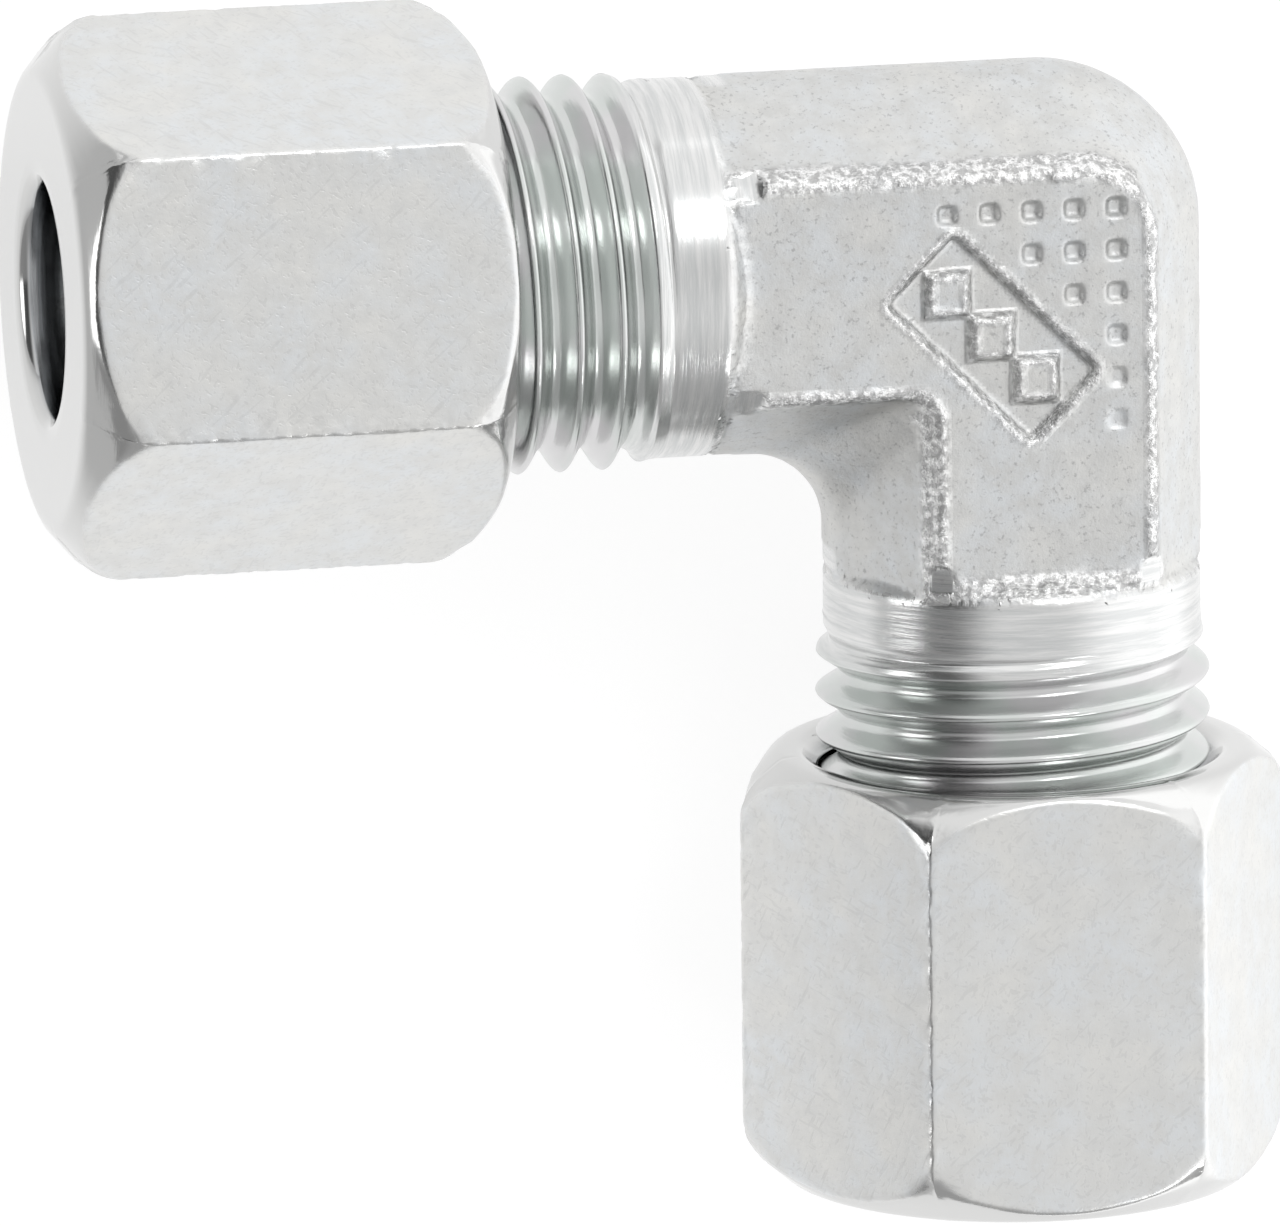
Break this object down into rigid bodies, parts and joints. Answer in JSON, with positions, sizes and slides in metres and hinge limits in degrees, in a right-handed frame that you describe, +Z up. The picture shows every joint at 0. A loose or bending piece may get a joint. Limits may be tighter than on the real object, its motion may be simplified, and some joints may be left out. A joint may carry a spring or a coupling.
{
  "type": "elbow compression fitting",
  "caption": "Right-angle metal tube union: forged elbow body with threaded ends, hexagon union nuts and inner cutting rings.",
  "frame": {"origin": "where the two tube axes cross, inside the elbow body", "axes": "the inlet arm runs out along -X, the outlet arm along -Y, and +Z is up from the marked front flat with the fitting lying on its side"},
  "size_m": [0.0442, 0.0427, 0.0186],
  "materials": {
    "forged_body": "bright zinc plate over a grainy forged skin, with turned shanks and threads",
    "union_nut": "bright zinc plate, satin flats",
    "cutting_ring": "bright zinc plate, turned"
  },
  "bodies": {
    "elbow_body": {"elbow_body": "forged_body"},
    "inlet_ring": {"inlet_ring": "cutting_ring"},
    "inlet_nut": {"inlet_nut": "union_nut"},
    "outlet_ring": {"outlet_ring": "cutting_ring"},
    "outlet_nut": {"outlet_nut": "union_nut"}
  },
  "joints": [
    {"name": "inlet_ring_slide", "type": "slide", "parent": "elbow_body", "child": "inlet_ring", "axis": [-1, 0, 0], "range_m": [-0.00275, 0.001]},
    {"name": "inlet_nut_turn", "type": "hinge", "parent": "inlet_ring", "child": "inlet_nut", "pos_m": [-0.0267, 0, 0], "axis": [-1, 0, 0], "range_deg": [-666, 246]},
    {"name": "outlet_ring_slide", "type": "slide", "parent": "elbow_body", "child": "outlet_ring", "axis": [0, -1, 0], "range_m": [-0.0014, 0.0025]},
    {"name": "outlet_nut_turn", "type": "hinge", "parent": "outlet_ring", "child": "outlet_nut", "pos_m": [0, -0.02535, 0], "axis": [0, -1, 0], "range_deg": [-342, 606]}
  ],
  "couplings": [
    {"joint": "inlet_nut_turn", "follows": "inlet_ring_slide", "rad_per_m": 4188.8},
    {"joint": "outlet_nut_turn", "follows": "outlet_ring_slide", "rad_per_m": 4188.8}
  ]
}
